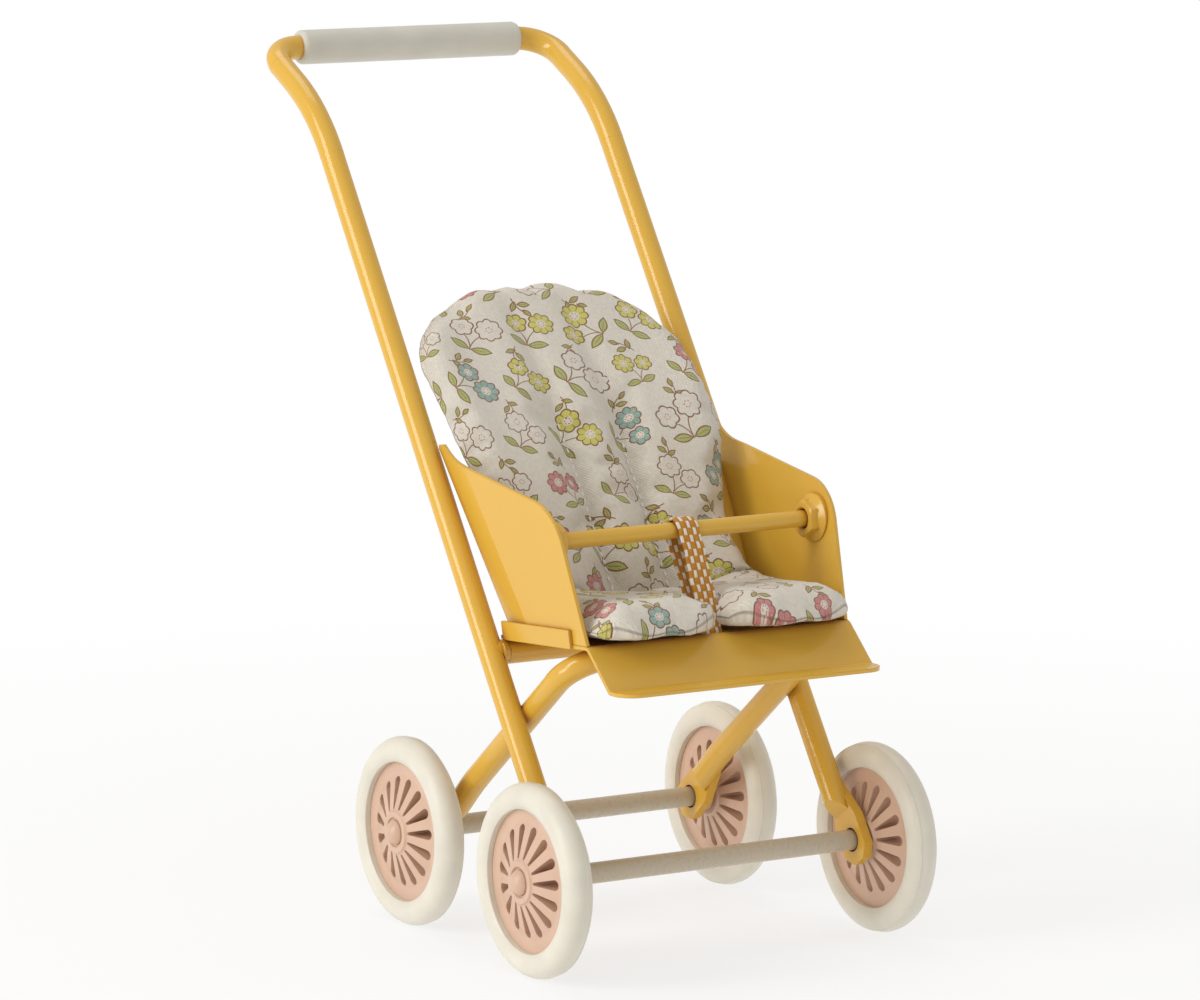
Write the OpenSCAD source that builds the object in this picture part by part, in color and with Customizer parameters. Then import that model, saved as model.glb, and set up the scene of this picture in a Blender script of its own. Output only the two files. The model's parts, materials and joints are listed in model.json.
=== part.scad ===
// Doll stroller: a welded frame of two bent tubes with a sheet-metal seat, a bumper bar and
// two wheel sets. Millimetres. +Z is up, the front of the stroller faces -Y, +X is to its side.
// The origin is on the ground, in the middle of the stroller's length and width.

/* [Wheels] */
// Diameter over the tyre
wheel_d = 46; // [42:1:50]
// Width of the tyre
tyre_w = 7.2; // [6.4:0.2:8.2]
// Height of the tyre's section, from the tread to the hub's visible rim
tyre_h = 6; // [5.4:0.2:6.4]
// How far the hub's rim is sunk into the tyre
rim_grip = 1.4; // [1:0.1:1.6]
// Distance between the front and rear axles
wheelbase = 64.6; // [58:1:76]
// Diameter of both axles
axle_d = 5; // [4:0.1:5.6]
// Thickness of the hub's flat rim
rim_t = 2.6; // [2:0.1:3.4]
// Height of the hub's boss on each side of its middle plane
boss_h = 4.2; // [3.2:0.1:4.6]
// Diameter of the hub's boss
boss_d = 10; // [9:0.5:11]
// Number of petal slots in a hub
slot_count = 15; // [10:1:16]
// Width of a petal slot near its outer end
slot_w = 2.5; // [1.6:0.1:2.7]
// Width of a petal slot at its inner end
slot_neck_w = 0.7; // [0.5:0.1:1]
// Radius of the outer tip of a petal slot
slot_tip_r = 13.4; // [11:0.1:14]
// Diameter of the domed hub cap
cap_d = 6; // [5.4:0.1:7.4]
// Height of the hub cap's dome above the boss
cap_dome = 1.9; // [0.6:0.1:2.4]

/* [Frame] */
// Outer diameter of the frame tubes
tube_d = 6; // [5.2:0.1:7.6]
// Wall of the frame tubes
tube_wall = 1; // [0.95:0.05:1.3]
// Spacing of the handle's two legs, centre to centre
handle_w = 80.3; // [78:0.2:98]
// How far the rear legs are pressed into the handle's legs where they cross
cross_dent = 0.85; // [0.2:0.05:0.9]
// Lean of the handle's legs from upright, in degrees
handle_lean = 34.3; // [30:0.5:38]
// Height of the knee where the handle leans further back
knee_h = 193.6; // [184:0.2:200]
// Lean of the handle above the knee, in degrees
top_lean = 62.5; // [56:0.5:68]
// Length of the handle's top from the knee to the grip's axis
top_len = 29.4; // [27:0.2:34]
// Bend radius at the knee
knee_r = 51; // [35:1:60]
// Bend radius at the handle's corners
corner_r = 8.5; // [8:0.1:10]
// Height of the crossbar under the back of the seat
crossbar_h = 71; // [66:0.2:74]
// Rise from the crossbar to the rear leg tube's cross part under the front of the seat
leg_cross_rise = 2.2; // [1:0.2:4]
// Distance of that cross part behind the front axle
leg_cross_y = 3; // [0:0.2:6]
// Lean of the rear legs' lower ends from upright, in degrees
leg_low_lean = 47.5; // [44:0.5:54]
// Length of those lower ends, up to where the legs lean further forward
leg_low_len = 20; // [18:1:26]
// Radius of that slight bend
leg_bow_r = 60; // [40:5:90]
// Bend radius of the rear leg tube's corners
leg_corner_r = 10; // [8:0.5:12]
// Thickness of the flattened tube ends
tab_t = 2.4; // [2:0.1:2.8]
// Width of the flattened tube ends
tab_w = 9.6; // [9:0.2:11]
// Reach of the flattened ends past the axle's centre
tab_reach = 5.8; // [5:0.1:7]
// Length of the flattened ends above the axle's centre
tab_len = 7; // [6:0.5:9]

/* [Handle grip] */
// Diameter of the grip sleeve
grip_d = 8.6; // [8.4:0.1:11]
// Length of the grip sleeve
grip_len = 62.6; // [40:0.2:64]
// Chamfer at the ends of the grip
grip_chamfer = 0.9; // [0.4:0.1:1.1]

/* [Seat] */
// Thickness of the seat's sheet metal
sheet_t = 0.9; // [0.7:0.1:1.1]
// Distance from the crossbar's axis to the bend at the front of the seat plate
seat_front = 37; // [35:0.5:42]
// Length of the sloping front of the seat plate
apron_len = 12; // [8:0.5:14]
// How far the sloping front turns down, in degrees
apron_turn = 46; // [30:1:55]
// How far the lip turns up again, in degrees
lip_turn = 42; // [25:1:50]
// Length of the lip
lip_len = 6.4; // [5:0.2:9]
// Radius of the lip's corners
lip_corner_r = 5; // [3:0.5:5.5]
// Height of the folded-up side flanges
flange_h = 3.6; // [3:0.2:6]
// Distance from the seat plate's front bend back to the flanges' front ends
flange_notch = 5.5; // [4:0.5:8]
// Height of the top edge of the side panels at the front, above the seat plate's underside
panel_h = 33.6; // [31:0.2:36]
// Height of the side panels' rear tips above the seat plate's underside
panel_tip_h = 44.4; // [42:0.2:46]
// Fall of the side panels' top edge towards the front, in degrees
panel_fall = 12; // [8:1:14]
// Lean of the side panels' front edge, in degrees
panel_lean = 15; // [8:1:18]
// Radius of the side panels' front corner
panel_corner_r = 14; // [10:0.5:16]
// How far the side panels spread outward, in degrees
panel_flare = 5; // [2:0.5:7]
// Width of the strip along the panels' back edge that is bent inward
strip_w = 10; // [7:0.5:12]
// How far the strip is bent inward, in degrees
strip_turn = 8; // [5:1:12]
// Height of the seat back above the crossbar, along its slope
back_len = 48; // [42:1:54]

/* [Bumper bar] */
// Diameter of the bumper bar
bar_d = 4; // [3.4:0.1:4.4]
// Height of the bar above the seat plate's underside
bar_h = 24.4; // [22:0.2:26]
// Distance of the bar in front of the crossbar's axis
bar_y = 23; // [20:0.2:24]
// Diameter of the nuts' flanges
nut_flange_d = 11.8; // [10:0.1:12]
// Width of the nuts across their flats
nut_flats = 8; // [7:0.1:8.4]
// Height of the nuts
nut_h = 3.6; // [3:0.1:5]
// Thickness of the nuts' flanges
nut_flange_t = 1.1; // [0.8:0.1:1.4]

/* [Soft parts] */
// Thickness of the cushion on the seat
pad_t = 6; // [4:0.5:8]
// Thickness of the cushion on the back
back_pad_t = 5; // [4:0.5:6]
// Length of the cushion's back, along its slope
back_pad_len = 94; // [74:1:96]
// How much further back than the handle's legs the cushion's back leans, in degrees
back_pad_lean = 10; // [6:0.5:11]
// Width of the strap
strap_w = 5.6; // [4.8:0.2:7]
// Thickness of the strap
strap_t = 1; // [0.8:0.1:1.2]
// Length of the slit between the cushion's two front lobes
slit_len = 15; // [12:0.5:18]

/* [Fits] */
// Play of an axle in its holes, on the radius
axle_play = 0.4; // [0.2:0.05:0.6]
// Play of the bumper bar in its nuts, on the radius
bar_play = 0.25; // [0.15:0.05:0.4]
// Side play of the wheels
side_play = 0.5; // [0.2:0.05:0.5]
// Length of the rear axle's spacer sleeves
spacer_len = 1.9; // [1:0.1:4]
// Gap between soft parts and the metal around them
soft_gap = 0.35; // [0.3:0.05:0.5]

/* [Hidden] */
$fn = 64;
SLIVER = 0.01;
tube_r = tube_d / 2;
axle_r = axle_d / 2;
wheel_r = wheel_d / 2;
hub_r = wheel_r - tyre_h;
handle_x = handle_w / 2;
rear_leg_x = handle_x - tube_d + cross_dent;
grip_y = tan(handle_lean) * (knee_h - wheel_r) + top_len * sin(top_lean);
grip_z = knee_h + top_len * cos(top_lean);

// Seat frame: the plate lies on the crossbar and on the rear leg tube's cross part.
crossbar_y = tan(handle_lean) * (crossbar_h - wheel_r);
seat_pitch = atan2(leg_cross_rise, crossbar_y - leg_cross_y);
bend_r = 1.6;
flange_x = handle_x - tube_r;
panel_x = flange_x - sheet_t;
inner_x = panel_x - sheet_t;
seat_rear = 1.5;
rear_lean = handle_lean - seat_pitch;
panel_gap = 0.3;
plate_top = tube_r + sheet_t;

// The front end of the lip, measured from the front axle, closes the stroller's length.
plate_steps = [[seat_front + seat_rear, -apron_turn], [apron_len, lip_turn], [lip_len, 0]];
lip_end = walk(plate_steps, bend_r)[len(walk(plate_steps, bend_r)) - 1];
lip_tip = crossbar_y + (seat_rear - lip_end[0]) * cos(seat_pitch)
    + (tube_r + lip_end[1]) * sin(seat_pitch);
front_end = min(lip_tip, -wheel_r);
rear_end = grip_y + grip_d / 2;
axle_y = -(front_end + rear_end) / 2;

// Lateral stack of the wheels, from the legs outward.
front_hub_x = handle_x + tube_r + side_play + boss_h;
rear_hub_x = rear_leg_x + tube_r + side_play + spacer_len + boss_h;
axle_stop = 1.4;

nut_bore_r = bar_d / 2 + bar_play;

function unit(v) = v / norm(v);
function reversed(list) = [for (i = [len(list) - 1:-1:0]) list[i]];
function flip_x(points) = [for (p = points) [-p[0], p[1], p[2]]];

// Places children so that their Z axis runs along "along" and their X axis along "across".
module aim(at, along, across) {
    z = unit(along);
    x = unit(across - z * (across * z));
    y = cross(z, x);
    multmatrix([[x[0], y[0], z[0], at[0]], [x[1], y[1], z[1], at[1]], [x[2], y[2], z[2], at[2]]])
        children();
}

// A straight run is a hair thinner than its bends and reaches this far into them, so that they join.
joint_step = 0.04;
joint_lap = 0.2;
straight_d = tube_d - joint_step;

// A round bar of diameter d along straight points, with an arc of radius bends[i] at each inner point.
module bent_bar(points, bends, d) {
    last = len(points) - 1;
    turn = [for (i = [0:last]) i == 0 || i == last ? 0
        : acos(unit(points[i] - points[i - 1]) * unit(points[i + 1] - points[i]))];
    cut = [for (i = [0:last]) bends[i] * tan(turn[i] / 2)];
    for (i = [0:last - 1]) {
        dir = unit(points[i + 1] - points[i]);
        lap_in = i == 0 ? 0 : joint_lap;
        lap_out = i == last - 1 ? 0 : joint_lap;
        aim(points[i] + dir * (cut[i] - lap_in), dir, [dir[2], dir[0], -dir[1]] + [0.3, 0.1, 0])
            cylinder(d = d - joint_step, h = norm(points[i + 1] - points[i]) - cut[i] - cut[i + 1]
                + lap_in + lap_out);
    }
    for (i = [1:last - 1]) {
        into = unit(points[i] - points[i - 1]);
        out = unit(points[i + 1] - points[i]);
        start = points[i] - into * cut[i];
        inward = unit(out - into * (out * into));
        aim(start + inward * bends[i], cross(-inward, into), -inward)
            rotate_extrude(angle = turn[i])
            translate([bends[i], 0])
            circle(d = d);
    }
}

// Centre line of a bent strip: each entry of steps is [straight length, turn in degrees].
function walk(steps, r, p = [0, 0], heading = 0, i = 0) =
    i == len(steps) ? [] :
    let (
        a = p + steps[i][0] * [cos(heading), sin(heading)],
        turn = steps[i][1],
        side = turn < 0 ? -1 : 1,
        c = a + side * r * [-sin(heading), cos(heading)],
        parts = turn == 0 ? 0 : 8,
        arc = [for (k = [1:1:parts]) let (h = heading + turn * k / parts)
            [c[0] + side * r * sin(h), c[1] - side * r * cos(h), h]],
        end = parts == 0 ? a : [arc[parts - 1][0], arc[parts - 1][1]]
    )
    concat([[p[0], p[1], heading], [a[0], a[1], heading]], arc,
        walk(steps, r, end, heading + turn, i + 1));

// The strip's outline: "t" thick, to the left of the walked line.
module strip(steps, r, t) {
    line = walk(steps, r);
    left = [for (q = line) [q[0] - t * sin(q[2]), q[1] + t * cos(q[2])]];
    polygon(concat([for (q = line) [q[0], q[1]]], reversed(left)));
}

// Children drawn with X forward and Y up in a side view, extruded across the stroller.
module side_view(x_from, x_to) {
    translate([x_from, 0, 0])
        rotate([90, 0, 90])
        mirror([1, 0, 0])
        linear_extrude(x_to - x_from)
        children();
}

// The seat's own frame: its origin is on the crossbar's axis and its -Y runs along the plate.
module seat_frame() {
    translate([0, axle_y + crossbar_y, crossbar_h])
        rotate([-seat_pitch, 0, 0])
        children();
}

// The back's frame: Z runs up along the handle's legs and -Y points away from them.
module back_frame() {
    translate([0, axle_y + crossbar_y, crossbar_h])
        rotate([-handle_lean, 0, 0])
        children();
}

// --- frame tubes -----------------------------------------------------------------------------

front_foot = [handle_x, axle_y, wheel_r];
front_dir = [0, sin(handle_lean), cos(handle_lean)];
rear_foot = [rear_leg_x, axle_y + wheelbase, wheel_r];
leg_cross = [rear_leg_x, axle_y + leg_cross_y, crossbar_h + leg_cross_rise];
rear_dir = [0, -sin(leg_low_lean), cos(leg_low_lean)];
leg_bow = rear_foot + rear_dir * leg_low_len;
ramp_len = 5;

function handle_points(trim) = let (
    foot = front_foot + front_dir * trim,
    knee = [handle_x, axle_y + tan(handle_lean) * (knee_h - wheel_r), knee_h],
    corner = [handle_x, axle_y + grip_y, grip_z]
) concat([foot, knee, corner], reversed(flip_x([foot, knee, corner])));

function leg_points(trim) =
    let (half = [rear_foot + rear_dir * trim, leg_bow, leg_cross])
    concat(half, reversed(flip_x(half)));

handle_bends = [0, knee_r, corner_r, corner_r, knee_r, 0];
leg_bends = [0, leg_bow_r, leg_corner_r, leg_corner_r, leg_bow_r, 0];

// One side of a tab's outline, from its cut-off lower corner to where it runs out in the tube.
function tab_side(side) = [
    [side * tab_w * 0.22, -tab_reach], [side * tab_w / 2, -tab_reach + tab_w * 0.28],
    [side * tab_w / 2, tab_len - 2], [side * tab_w * 0.42, tab_len],
    [side * tube_r * 0.35, tab_len + ramp_len + 3]
];
tab_inset = 0.05;

// A flattened tube end with its axle hole, in the right-hand leg: the tube is pressed to its outer side.
module tab(foot, dir) {
    aim(foot, dir, [1, 0, 0])
        translate([tube_r - tab_t - tab_inset, 0, 0])
        rotate([90, 0, 90])
        linear_extrude(tab_t)
        difference() {
            polygon(concat(tab_side(1), reversed(tab_side(-1))));
            circle(r = axle_r + axle_play);
        }
}

// The wedge that is pressed away from the inner side of the tube above a tab.
module tab_press(foot, dir) {
    aim(foot + dir * tab_len, dir, [1, 0, 0])
        translate([tube_r - tab_t, -tube_d, 0])
        rotate([-90, 0, 0])
        linear_extrude(2 * tube_d)
        polygon([[0, 1], [0, 0], [-tube_d - 1, -ramp_len - 2], [-tube_d - 1, 1]]);
}

// Children on the right-hand side, and mirrored on the left.
module both_sides() {
    children();
    mirror([1, 0, 0]) children();
}

module handle_tube() {
    color("goldenrod")
        union() {
            difference() {
                bent_bar(handle_points(tab_len), handle_bends, tube_d);
                bent_bar(handle_points(tab_len + ramp_len + 3), handle_bends, tube_d - 2 * tube_wall);
                both_sides() tab_press(front_foot, front_dir);
            }
            both_sides() tab(front_foot, front_dir);
        }
}

module rear_leg_tube() {
    color("goldenrod")
        union() {
            difference() {
                bent_bar(leg_points(tab_len), leg_bends, tube_d);
                bent_bar(leg_points(tab_len + ramp_len + 3), leg_bends, tube_d - 2 * tube_wall);
                both_sides() tab_press(rear_foot, rear_dir);
                both_sides() handle_leg(straight_d);
            }
            both_sides() tab(rear_foot, rear_dir);
        }
}

// One straight handle leg, for the pieces that are fitted around it.
module handle_leg(d) {
    aim(front_foot + front_dir * (tab_len + ramp_len), front_dir, [1, 0, 0])
        cylinder(d = d, h = (knee_h - wheel_r) * 0.7);
}

module seat_crossbar() {
    color("goldenrod")
        seat_frame()
        difference() {
            translate([-handle_x, 0, 0]) rotate([0, 90, 0]) cylinder(d = tube_d, h = handle_w);
            translate([-handle_x - 1, 0, 0]) rotate([0, 90, 0])
                cylinder(d = tube_d - 2 * tube_wall, h = handle_w + 2);
            both_sides() leg_in_seat_frame();
        }
}

// The handle leg as it stands in the seat's frame.
module leg_in_seat_frame() {
    translate([handle_x, 0, 0])
        rotate([seat_pitch - handle_lean, 0, 0])
        cylinder(d = straight_d, h = 4 * tube_d, center = true);
}

// Weld beads: at the crossing of the two tubes, and around the crossbar's ends.
leg_run = leg_cross - leg_bow;
leg_slope = -leg_run[1] / leg_run[2];
crossing_z = (leg_bow[1] + leg_slope * leg_bow[2] - axle_y + tan(handle_lean) * wheel_r)
    / (tan(handle_lean) + leg_slope);
crossing = [0, axle_y + tan(handle_lean) * (crossing_z - wheel_r), crossing_z];
bead_d = 4.6;

module frame_welds() {
    color("goldenrod") {
        both_sides()
            difference() {
                translate([rear_leg_x, crossing[1], crossing[2]])
                    rotate([0, 90, 0]) cylinder(d = bead_d, h = handle_x - rear_leg_x);
                handle_leg(straight_d);
                aim(leg_bow, leg_run, [1, 0, 0])
                    cylinder(d = straight_d, h = norm(leg_run) - leg_corner_r);
            }
        both_sides()
            seat_frame()
            difference() {
                translate([flange_x - 0.9, 0, 0]) rotate([0, 90, 0])
                    cylinder(d1 = tube_d, d2 = tube_d + 2.2, h = 2.2);
                translate([flange_x - 2, 0, 0]) rotate([0, 90, 0]) cylinder(d = tube_d, h = 5);
                leg_in_seat_frame();
                translate([0, -50, tube_r - 0.5]) cube([100, 100, 10]);
            }
    }
}

module handle_grip() {
    color("silver")
        translate([-grip_len / 2, axle_y + grip_y, grip_z])
        rotate([0, 90, 0])
        rotate_extrude()
        polygon([
            [straight_d / 2, 0], [grip_d / 2 - grip_chamfer, 0], [grip_d / 2 - grip_chamfer * 0.3, grip_chamfer * 0.3],
            [grip_d / 2, grip_chamfer], [grip_d / 2, grip_len - grip_chamfer],
            [grip_d / 2 - grip_chamfer * 0.3, grip_len - grip_chamfer * 0.3],
            [grip_d / 2 - grip_chamfer, grip_len], [straight_d / 2, grip_len]
        ]);
}

// --- seat ------------------------------------------------------------------------------------

// Plan outline of the seat plate, with rounded front corners.
module plate_plan(length) {
    r = lip_corner_r;
    half = panel_x + 0.1;
    translate([-half, -length + r]) square([2 * half, length + 10]);
    translate([-half + r, -length]) square([2 * (half - r), length]);
    for (side = [-1, 1]) translate([side * (half - r), -length + r]) circle(r = r);
}

module seat_plate() {
    color("goldenrod")
        difference() {
            union() {
                intersection() {
                    seat_frame()
                        translate([0, seat_rear, tube_r])
                        side_view(-flange_x, flange_x)
                        strip(plate_steps, bend_r, sheet_t);
                    translate([0, axle_y + crossbar_y, 0])
                        linear_extrude(200)
                        plate_plan(crossbar_y - lip_tip);
                }
                both_sides() side_flange();
            }
            seat_frame() strap_slot();
            handle_legs();
        }
}

// The seat plate's folded-up flange, outside the right-hand panel.
module side_flange() {
    start = -seat_front + flange_notch;
    length = seat_front - flange_notch - tube_r * 0.2;
    root = 0.5;
    panel_frame() {
        translate([0, start, -SLIVER]) cube([sheet_t, length, flange_h]);
        translate([-root, start, -sheet_t]) cube([root + sheet_t, length, sheet_t - 2 * SLIVER]);
        translate([SLIVER, start, -sheet_t]) cube([sheet_t - SLIVER, length, sheet_t]);
    }
}

module handle_legs() {
    both_sides() handle_leg(straight_d);
}

strap_y = -seat_front + 2.6;
strap_drop = 1;

module strap_slot() {
    translate([-strap_w / 2 - 1, strap_y - 1.5 * strap_t, 0])
        cube([strap_w + 2, 5 * strap_t, 2 * tube_d]);
}

// Side outline of a panel in its own frame, with X forward from the crossbar and Y up. Its back edge
// runs along the front of the handle's leg.
module panel_outline() {
    r = panel_corner_r;
    foot_x = seat_front + 0.6;
    corner_z = panel_h - r;
    corner_x = foot_x - r * cos(panel_lean) - (corner_z + r * sin(panel_lean)) * tan(panel_lean);
    top_x = corner_x + r * sin(panel_fall);
    top_z = corner_z + r * cos(panel_fall);
    rear_x = (tube_r + panel_gap) / cos(rear_lean) - plate_top * tan(rear_lean);
    dip_r = 16;
    dip_x = -13;
    dip_z = top_z + (top_x - dip_x) * tan(panel_fall);
    difference() {
        union() {
            polygon([
                [rear_x, 0], [foot_x, 0],
                [corner_x + r * cos(panel_lean), corner_z + r * sin(panel_lean)],
                [top_x, top_z], [dip_x, dip_z], [dip_x, panel_tip_h + 0.6],
                [rear_x - panel_tip_h * tan(rear_lean) + 1, panel_tip_h],
                [rear_x - (panel_tip_h - 1) * tan(rear_lean), panel_tip_h - 1]
            ]);
            translate([corner_x, corner_z]) circle(r = r);
        }
        translate([dip_x + dip_r * sin(panel_fall), dip_z + dip_r * cos(panel_fall)]) circle(r = dip_r);
    }
}

// The flared frame of the right-hand panel: its X points outward and its Z up along the panel.
module panel_frame() {
    seat_frame()
        translate([panel_x, 0, plate_top + SLIVER])
        rotate([0, panel_flare, 0])
        children();
}

// Frame of the crease in that panel, along which the strip is bent inward.
module crease_frame() {
    translate([0, -strip_w - tube_r, 0])
        rotate([-rear_lean, 0, 0])
        children();
}

module side_panel(side) {
    mirror([side < 0 ? 1 : 0, 0, 0])
        panel_frame()
        intersection() {
            side_view(-10, 5) panel_outline();
            crease_frame()
                translate([0, 0, -40])
                linear_extrude(130)
                panel_section();
        }
}

// Section of a side panel across its crease: flat to the front, its rear strip bent inward.
module panel_section() {
    reach = 40;
    polygon([
        [0, 0], [-reach * sin(strip_turn), reach * cos(strip_turn)],
        [-reach * sin(strip_turn) - sheet_t * cos(strip_turn), reach * cos(strip_turn) - sheet_t * sin(strip_turn)],
        [-sheet_t, sheet_t * tan(strip_turn / 2) * -1], [-sheet_t, -70], [0, -70]
    ]);
}

// Everything outside the inner face of the right-hand panel's strip, or of its flat part.
module outside_strip() {
    panel_frame()
        crease_frame()
        rotate([0, 0, strip_turn])
        translate([-sheet_t, -40, -60])
        cube([60, 90, 200]);
}

module outside_panel() {
    panel_frame() translate([-sheet_t, -80, -60]) cube([60, 90, 200]);
}

module side_panel_left() { color("goldenrod") side_panel(-1); }
module side_panel_right() { color("goldenrod") side_panel(1); }

module seat_back() {
    half = handle_x;
    r = 16;
    low = (plate_top + panel_gap - (tube_r + panel_gap) * sin(rear_lean)) / cos(rear_lean);
    color("goldenrod")
        difference() {
            back_frame()
                translate([0, -tube_r - panel_gap, 0])
                rotate([90, 0, 0])
                linear_extrude(sheet_t) {
                    translate([-half, low]) square([2 * half, 40]);
                    translate([-back_half, low]) square([2 * back_half, back_len - r - low]);
                    translate([-back_half + r, low]) square([2 * (back_half - r), back_len - low]);
                    for (side = [-1, 1]) translate([side * (back_half - r), back_len - r]) circle(r = r);
                }
            both_sides() outside_strip();
        }
}

bar_at = [0, -bar_y, bar_h + tube_r];
nut_x = panel_x - sheet_t / cos(panel_flare) + (bar_h - sheet_t) * tan(panel_flare);
back_half = 30;

module bumper_nut(side) {
    root = 1.5;
    mirror([side < 0 ? 1 : 0, 0, 0])
        difference() {
            seat_frame()
                translate([nut_x, bar_at[1], bar_at[2]])
                rotate([0, -90, 0])
                difference() {
                    union() {
                        translate([0, 0, -root]) cylinder(d = nut_flange_d, h = root + nut_flange_t * 0.6);
                        translate([0, 0, nut_flange_t * 0.6 - SLIVER])
                            cylinder(d1 = nut_flange_d, d2 = nut_flats, h = nut_flange_t);
                        intersection() {
                            cylinder(d = nut_flats / cos(30), h = nut_h, $fn = 6);
                            cylinder(d1 = nut_flats + nut_h * 4, d2 = nut_flats, h = nut_h);
                        }
                    }
                    translate([0, 0, -2 * root]) cylinder(r = nut_bore_r, h = nut_h + 4 * root);
                    translate([0, 0, nut_h - 0.5]) cylinder(r1 = nut_bore_r, r2 = nut_bore_r + 0.6, h = 0.6);
                }
            outside_panel();
        }
}

module bumper_nut_left() { color("goldenrod") bumper_nut(-1); }
module bumper_nut_right() { color("goldenrod") bumper_nut(1); }

module bumper_bar() {
    half = nut_x - side_play - bar_d / 2 * tan(panel_flare);
    color("goldenrod")
        seat_frame()
        translate([-half, bar_at[1], bar_at[2]])
        rotate([0, 90, 0])
        cylinder(d = bar_d, h = 2 * half);
}

// --- soft parts ------------------------------------------------------------------------------

module cushion_seat() {
    half = inner_x - soft_gap - strip_w * sin(strip_turn) - 0.6;
    back_y = -13;
    color("beige")
        seat_frame()
        translate([0, 0, plate_top + soft_gap])
        linear_extrude(pad_t)
        difference() {
            translate([-half, -seat_front]) square([2 * half, seat_front + back_y]);
            translate([-strap_w / 2 - 1, -seat_front - 1]) square([strap_w + 2, slit_len]);
        }
}

module cushion_back() {
    half = inner_x - 1.5 * strip_w * sin(strip_turn) - soft_gap;
    low = 4;
    r = 24;
    color("beige")
        back_frame()
        translate([0, -tube_r - panel_gap - sheet_t - soft_gap, back_len])
        rotate([-back_pad_lean, 0, 0])
        translate([0, 0, low - back_len])
        rotate([90, 0, 0])
        linear_extrude(back_pad_t) {
            translate([-half, 0]) square([2 * half, back_pad_len - r]);
            translate([-half + r, 0]) square([2 * (half - r), back_pad_len]);
            for (side = [-1, 1]) translate([side * (half - r), back_pad_len - r]) circle(r = r);
        }
}

// The strap: a flat loop over the bumper bar, its two layers meeting in the slot of the seat plate.
module harness_strap() {
    eye = bar_d / 2 + soft_gap;
    drop = bar_at[2] - tube_r + strap_drop;
    lean = atan2(bar_at[1] - strap_y, drop);
    len = norm([bar_at[1] - strap_y, drop]);
    color("peru")
        seat_frame()
        difference() {
            translate([0, strap_y, tube_r - strap_drop])
                rotate([-lean, 0, 0])
                side_view(-strap_w / 2, strap_w / 2)
                difference() {
                    union() {
                        translate([0, len]) circle(r = eye + strap_t);
                        polygon([[-strap_t, -1], [strap_t, -1], [strap_t, 0], [eye + strap_t, len],
                            [-eye - strap_t, len], [-strap_t, 0]]);
                    }
                    translate([0, len]) circle(r = eye);
                    polygon([[-0.05, len * 0.3], [0.05, len * 0.3], [eye, len], [-eye, len]]);
                }
            translate([-strap_w, strap_y - 10, -10]) cube([2 * strap_w, 20, 10 + tube_r - strap_drop]);
        }
}

module strap_stop() {
    color("tan")
        seat_frame()
        translate([-strap_w / 2 - 2, strap_y - 2.1, tube_r - strap_drop - 1.5])
        cube([strap_w + 4, 3.2, 1.5]);
}

// --- wheels ----------------------------------------------------------------------------------

// Half a wheel's section is drawn with X as the radius and Y across the wheel, outer side up.
module hub_section() {
    cone_r = slot_tip_r + 0.3;
    rim_r = hub_r + rim_grip;
    polygon([
        [axle_r, -boss_h], [boss_d / 2, -boss_h], [boss_d / 2 + 0.4, -boss_h + 0.4], [cone_r, -rim_t / 2],
        [rim_r, -rim_t / 2], [rim_r, rim_t / 2], [cone_r, rim_t / 2],
        [boss_d / 2 + 0.4, boss_h - 0.5], [boss_d / 2, boss_h], [cap_d / 2 + 0.7, boss_h],
        [cap_d / 2 + 0.45, boss_h - 0.5], [cap_d / 2 + 0.05, boss_h - 0.5], [cap_d / 2 + 0.05, boss_h - 0.9],
        [axle_r, boss_h - 0.9]
    ]);
}

module slot_plan() {
    inner = boss_d / 2 + 0.9;
    outer = slot_tip_r - slot_w / 2;
    polygon([[inner, -slot_neck_w / 2], [outer, -slot_w / 2], [outer, slot_w / 2], [inner, slot_neck_w / 2]]);
    translate([inner, 0]) circle(d = slot_neck_w);
    translate([outer, 0]) circle(d = slot_w);
}

module on_axle(x, y) {
    translate([x, axle_y + y, wheel_r])
        mirror([x < 0 ? 1 : 0, 0, 0])
        rotate([0, 90, 0])
        children();
}

module hub(x, y) {
    color("rosybrown")
        on_axle(x, y)
        difference() {
            rotate_extrude() hub_section();
            for (i = [0:slot_count - 1])
                rotate(i * 360 / slot_count)
                translate([0, 0, -boss_h - 1])
                linear_extrude(2 * boss_h + 2)
                slot_plan();
        }
}

module tyre(x, y) {
    r = tyre_w / 2;
    ridge_w = 0.35;
    ridge_y = -1.9;
    ridge_r = wheel_r - r + sqrt(r * r - ridge_y * ridge_y) + 0.12;
    color("ivory")
        on_axle(x, y)
        rotate_extrude($fn = 96)
        difference() {
            union() {
                translate([wheel_r - r, 0]) circle(r = r);
                translate([ridge_r - 1, ridge_y - ridge_w / 2]) square([1, ridge_w]);
            }
            square([2 * hub_r, 3 * tyre_w], center = true);
            translate([0, -rim_t / 2]) square([hub_r + rim_grip, rim_t]);
        }
}

module cap(x, y) {
    dome_r = (pow(cap_d / 2, 2) + pow(cap_dome, 2)) / (2 * cap_dome);
    color("rosybrown")
        on_axle(x, y) {
            translate([0, 0, boss_h - 0.9]) cylinder(d = cap_d, h = 0.9);
            translate([0, 0, boss_h])
                intersection() {
                    translate([0, 0, cap_dome - dome_r]) sphere(r = dome_r, $fn = 128);
                    cylinder(d = cap_d, h = 2 * cap_dome);
                }
            translate([0, 0, boss_h - axle_stop]) cylinder(r = axle_r, h = axle_stop - 0.9);
        }
}

module axle(hub_x, y) {
    half = hub_x + boss_h - axle_stop;
    color("darkkhaki")
        translate([-half, axle_y + y, wheel_r])
        rotate([0, 90, 0])
        cylinder(r = axle_r, h = 2 * half);
}

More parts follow.
